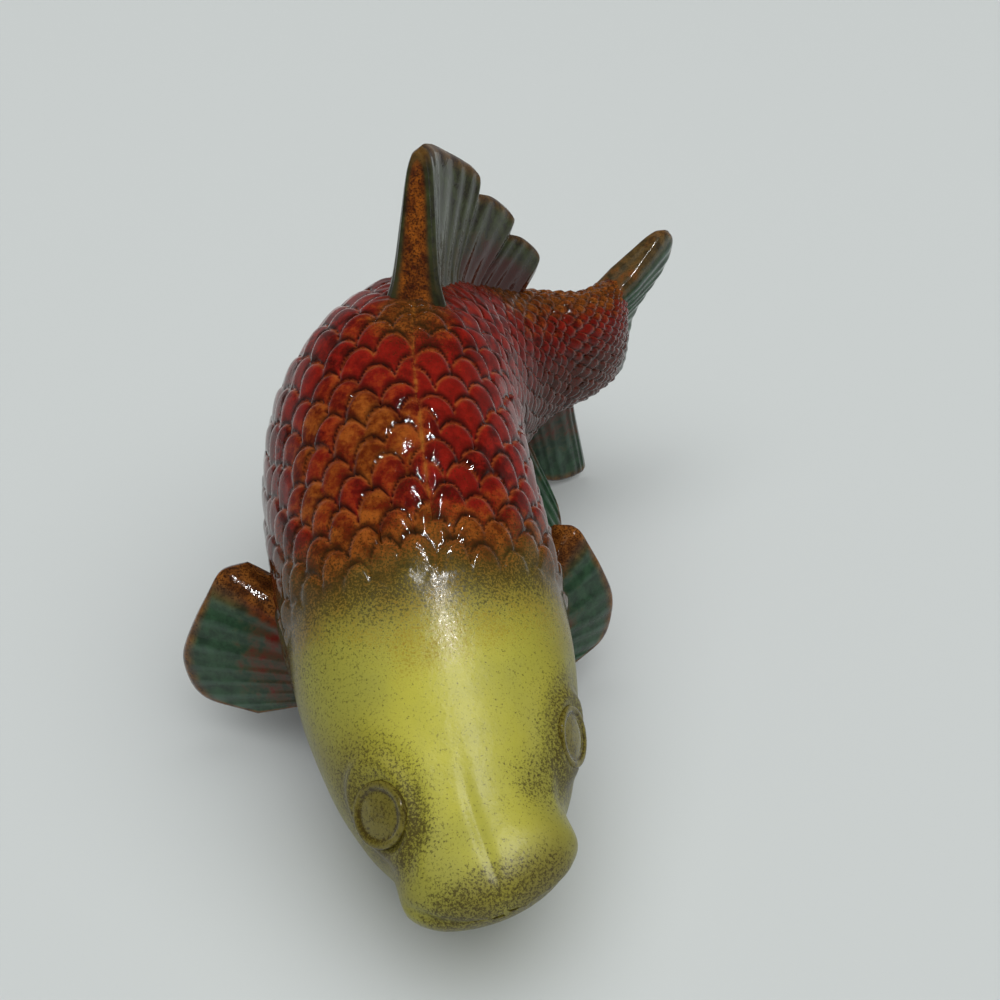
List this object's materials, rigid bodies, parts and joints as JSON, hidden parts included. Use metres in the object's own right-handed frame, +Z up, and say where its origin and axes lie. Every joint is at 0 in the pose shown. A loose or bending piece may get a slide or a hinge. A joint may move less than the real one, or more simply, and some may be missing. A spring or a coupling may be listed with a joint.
{
  "type": "fish figurine",
  "caption": "Hollow glazed earthenware fish with overlapping scales, a curved body, a scalloped dorsal fin and an upright tail.",
  "frame": {"origin": "on the table, under the middle of the fish's bounding box", "axes": "+Z up, the fish faces -Y and its left side is at +X; its longest extent lies along Y"},
  "size_m": [0.1134, 0.1954, 0.1051],
  "materials": {
    "body_glaze": "glossy red and amber glaze, yellow-green on the head",
    "dorsal_glaze": "glossy amber, brown and green glaze",
    "fin_glaze": "glossy dark green glaze with amber and brown edges",
    "eye_glaze": "glossy yellow-green glaze with brown speckles"
  },
  "bodies": {
    "root": {"body_half_left": "body_glaze", "body_half_right": "body_glaze", "dorsal_fin": "dorsal_glaze", "tail_fin": "fin_glaze", "pectoral_fin_left": "fin_glaze", "pectoral_fin_right": "fin_glaze", "pelvic_fin_left": "fin_glaze", "pelvic_fin_right": "fin_glaze", "anal_fin": "fin_glaze", "eye_left": "eye_glaze", "eye_right": "eye_glaze"}
  },
  "joints": []
}
